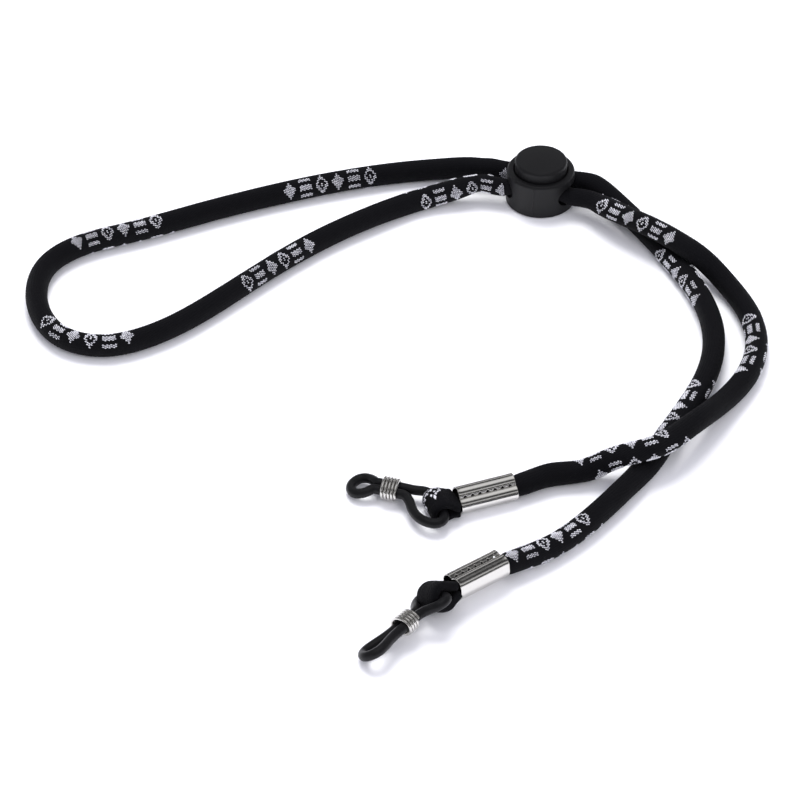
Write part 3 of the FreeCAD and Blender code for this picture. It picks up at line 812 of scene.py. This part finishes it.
def thread_material():
    """Pale grey-white yarn of the woven motifs, uneven from stitch to stitch."""
    material, tree, shader = new_material("pale_thread")
    place = position(tree)
    patches = noise_node(tree, place, 900.0, 2.0)
    colour = tint(tree, ramp(tree, patches, 0.0, 1.0, 0.3, 0.7), (0.4, 0.4, 0.44), (0.8, 0.8, 0.83))
    tree.links.new(colour, shader.inputs["Base Color"])
    shader.inputs["Roughness"].default_value = 0.75
    bump(tree, shader, noise_node(tree, place, 4000.0), 0.4, 0.05 * MM)
    return material


def plastic_material():
    """Charcoal moulded plastic with a fine satin grain and slight handling shine."""
    material, tree, shader = new_material("satin_plastic")
    place = position(tree)
    shine = noise_node(tree, place, 120.0)
    colour = tint(tree, shine, (0.005, 0.005, 0.0055), (0.009, 0.009, 0.010))
    tree.links.new(colour, shader.inputs["Base Color"])
    tree.links.new(ramp(tree, shine, 0.42, 0.55), shader.inputs["Roughness"])
    shader.inputs["Specular IOR Level"].default_value = 0.22
    bump(tree, shader, noise_node(tree, place, 5000.0), 0.12, 0.05 * MM)
    return material


def rubber_material():
    """Satin black silicone, slightly dusty."""
    material, tree, shader = new_material("black_silicone")
    place = position(tree)
    dust = noise_node(tree, place, 500.0, 5.0)
    colour = tint(tree, dust, (0.004, 0.004, 0.0045), (0.008, 0.008, 0.009))
    tree.links.new(colour, shader.inputs["Base Color"])
    tree.links.new(ramp(tree, dust, 0.28, 0.45), shader.inputs["Roughness"])
    shader.inputs["Specular IOR Level"].default_value = 0.2
    bump(tree, shader, noise_node(tree, place, 2500.0), 0.1, 0.05 * MM)
    return material


def nickel_material(name, rough):
    """Bright nickel plate with fine scratches and a warm-grey cast."""
    material, tree, shader = new_material(name)
    place = position(tree)
    stretch = node(tree, "ShaderNodeMapping")
    stretch.inputs["Scale"].default_value = (300.0, 2200.0, 900.0)
    tree.links.new(place, stretch.inputs["Vector"])
    scratch = noise_node(tree, stretch.outputs["Vector"], 1.0, 4.0)
    colour = tint(tree, scratch, (0.60, 0.585, 0.56), (0.68, 0.67, 0.645))
    tree.links.new(colour, shader.inputs["Base Color"])
    shader.inputs["Metallic"].default_value = 1.0
    tree.links.new(ramp(tree, scratch, rough, rough + 0.12), shader.inputs["Roughness"])
    bump(tree, shader, scratch, 0.02, 0.05 * MM)
    return material


def paint(name, material):
    """Give a CAD node its finish."""
    mesh = frame["nodes"][name].data
    mesh.materials.clear()
    mesh.materials.append(material)


# ---------------------------------------------------------------- camera, light and floor
CAMERA_AZIMUTH = math.radians(13.5)
CAMERA_ELEVATION = math.radians(39.0)
CAMERA_DISTANCE = 1083.9
CAMERA_TARGET_FROM_LOCK = (-15.9, -88.9)
CAMERA_LENS = 200.0
CAMERA_SENSOR = 36.0
TABLE_AIM = (0, -0.08, 0)
TABLE_HALF = 3.0


def make_camera():
    """The view the strap is shown from: over the front edge, a little from the right."""
    low, high = node_box("lock_barrel")
    middle = (low + high) / 2
    target = np.array([middle[0] + CAMERA_TARGET_FROM_LOCK[0],
                       middle[1] + CAMERA_TARGET_FROM_LOCK[1], low[2]])
    back = np.array([math.sin(CAMERA_AZIMUTH) * math.cos(CAMERA_ELEVATION),
                     -math.cos(CAMERA_AZIMUTH) * math.cos(CAMERA_ELEVATION),
                     math.sin(CAMERA_ELEVATION)])
    camera = bpy.data.cameras.new("camera")
    camera.lens = CAMERA_LENS
    camera.sensor_width = CAMERA_SENSOR
    camera.clip_start = 0.01
    camera.clip_end = 20.0
    holder = bpy.data.objects.new("camera", camera)
    holder.location = (target + back * CAMERA_DISTANCE) * MM
    holder.rotation_mode = "QUATERNION"
    holder.rotation_quaternion = (-Vector(back)).to_track_quat("-Z", "Y")
    bpy.context.scene.collection.objects.link(holder)
    bpy.context.scene.camera = holder


def make_light(name, place, size, power):
    """A round softbox over the table, which polished parts do not mirror."""
    lamp = bpy.data.lights.new(name, "AREA")
    lamp.shape = "DISK"
    lamp.size = size
    lamp.energy = power
    holder = bpy.data.objects.new(name, lamp)
    holder.location = place
    holder.rotation_mode = "QUATERNION"
    holder.rotation_quaternion = (Vector(TABLE_AIM) - Vector(place)).to_track_quat("-Z", "Y")
    holder.visible_glossy = False
    bpy.context.scene.collection.objects.link(holder)


def make_floor():
    """A plain white table top."""
    material, tree, shader = new_material("white_table")
    grain = noise_node(tree, position(tree), 40.0)
    colour = tint(tree, grain, (0.93, 0.93, 0.945), (0.95, 0.95, 0.96))
    tree.links.new(colour, shader.inputs["Base Color"])
    shader.inputs["Roughness"].default_value = 0.9
    shader.inputs["Specular IOR Level"].default_value = 0.0
    mesh = bpy.data.meshes.new("table_top")
    half = TABLE_HALF
    corners = [(-half, -half, 0), (half, -half, 0), (half, half, 0), (-half, half, 0)]
    mesh.from_pydata(corners, [], [(0, 1, 2, 3)])
    mesh.materials.append(material)
    floor = bpy.data.objects.new("table_top", mesh)
    bpy.context.scene.collection.objects.link(floor)


# Brightness of the mirrored studio by the height of the mirrored direction, from level to overhead.
SOFTBOX_BANDS = ((0.0, 0.75), (0.08, 0.7), (0.16, 0.03), (0.34, 0.02), (0.44, 0.5), (0.52, 0.95),
                 (0.6, 0.25), (0.72, 0.02), (0.84, 0.04), (0.92, 0.9), (1.0, 1.0))


def make_world():
    """Even white light, while polished parts mirror a dark studio with softboxes at a few heights."""
    world = bpy.data.worlds.new("studio")
    bpy.context.scene.world = world
    world.use_nodes = True
    tree = world.node_tree
    even = tree.nodes["Background"]
    even.inputs["Color"].default_value = (0.9, 0.9, 1.0, 1.0)
    even.inputs["Strength"].default_value = 0.88
    direction = node(tree, "ShaderNodeTexCoord").outputs["Generated"]
    apart = node(tree, "ShaderNodeSeparateXYZ")
    tree.links.new(direction, apart.inputs["Vector"])
    bands = node(tree, "ShaderNodeValToRGB")
    stops = bands.color_ramp.elements
    while len(stops) < len(SOFTBOX_BANDS):
        stops.new(0.5)
    for stop, (height, level) in zip(stops, SOFTBOX_BANDS):
        stop.position = height
        stop.color = (level, level, level * 1.02, 1.0)
    tree.links.new(apart.outputs["Z"], bands.inputs["Fac"])
    mirrored = node(tree, "ShaderNodeBackground", Strength=1.0)
    tree.links.new(bands.outputs["Color"], mirrored.inputs["Color"])
    ray = node(tree, "ShaderNodeLightPath")
    choose = node(tree, "ShaderNodeMixShader")
    tree.links.new(ray.outputs["Is Glossy Ray"], choose.inputs["Fac"])
    tree.links.new(even.outputs["Background"], choose.inputs[1])
    tree.links.new(mirrored.outputs["Background"], choose.inputs[2])
    tree.links.new(choose.outputs["Shader"], tree.nodes["World Output"].inputs["Surface"])


def make_studio():
    """World light, two softboxes and the table."""
    make_world()
    make_light("key", place=(-0.25, 0.45, 0.9), size=0.7, power=11.0)
    make_light("fill", place=(0.8, -0.9, 0.9), size=0.9, power=5.0)
    make_floor()
    bpy.context.scene.view_settings.view_transform = "Standard"


# ---------------------------------------------------------------- putting it together
KNIT = knit_material()
THREAD = thread_material()
PLASTIC = plastic_material()
RUBBER = rubber_material()
FERRULE_METAL = nickel_material("ferrule_nickel", 0.12)
COIL_METAL = nickel_material("coil_nickel", 0.15)
SPRING_METAL = nickel_material("spring_steel", 0.3)


class MotifRow:
    """Where the woven motifs lie: the first group's distance, its angle, and the cord's slow twist."""

    def __init__(self, first, angle, twist):
        self.first = first
        self.angle = math.radians(angle)
        self.twist = math.radians(twist)

    def groups(self, length):
        """Both rows of groups, on roughly opposite faces of the cord, at an even pitch."""
        found = []
        middle = self.first
        while middle < length + MOTIF_PITCH / 2:
            angle = self.angle + self.twist * (middle - self.first)
            found.append((middle, angle))
            found.append((middle - ROW_STAGGER, angle + ROW_APART))
            middle += MOTIF_PITCH
        return found


BEND_REACH = 5.0
NECK_ROWS = MotifRow(first=-1.5, angle=172.0, twist=-0.545)
TAIL_ROWS = {"a": MotifRow(first=31.0, angle=48.0, twist=0.08),
             "b": MotifRow(first=57.0, angle=20.0, twist=0.6)}


def dress_neck():
    """The neck loop's knitted cord and its woven motifs."""
    course = neck_course()
    cord = knitted_tube("neck_cord", course, KNIT)
    spots = group_spots(course, NECK_ROWS.groups(course.length))
    motifs = stitch_mesh("neck_motifs", cord_skin(course), spots, THREAD)
    for piece in (cord, motifs):
        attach(piece, "cord")
    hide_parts("neck_sheath", "neck_core")


def dress_tail(letter):
    """One tail's knitted cord and motifs, baked in place and not tied to the tail's flex."""
    course = tail_course(letter)
    cord = knitted_tube("tail_" + letter + "_cord", course, KNIT)
    spots = group_spots(course, TAIL_ROWS[letter].groups(course.length))
    motifs = stitch_mesh("tail_" + letter + "_motifs", cord_skin(course), spots, THREAD)
    hinge = joint_named("tail_" + letter + "_flex")
    pivot = np.array(hinge["pos_m"]) / MM
    table = course.table[:, :3]
    place = course.distance[np.argmin(np.linalg.norm(table - pivot, axis=1))]
    ends = course.at(np.array([place - BEND_REACH, place + BEND_REACH]))[0]
    for piece in (cord, motifs):
        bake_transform(piece)
    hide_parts("tail_" + letter + "_sheath", "tail_" + letter + "_core",
                "tail_" + letter + "_end_sheath", "tail_" + letter + "_end_core")


def dress_end(letter):
    """One tail end's ferrule, knitted eye, rubber ring and wire coil."""
    body = "tail_" + letter + "_end"
    ferrule = rolled_ferrule(letter, FERRULE_METAL)
    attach(ferrule, body)
    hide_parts("ferrule_" + letter)
    paint("coil_" + letter, COIL_METAL)
    paint("ring_" + letter, RUBBER)
    skin, fold = knitted_eye(letter, KNIT)
    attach(fold, body)
    if letter == "a":
        motifs = stitch_mesh("eye_a_motifs", skin, eye_spots(skin), THREAD)
        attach(motifs, body)
    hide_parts("eye_" + letter)


dress_neck()
for letter in LETTERS:
    dress_tail(letter)
for part in ("lock_barrel", "lock_button"):
    paint(part, PLASTIC)
lock_spring(SPRING_METAL)
for facing in (-1, 1):
    parting_line(facing, PLASTIC)
for letter in LETTERS:
    dress_end(letter)
make_studio()
make_camera()
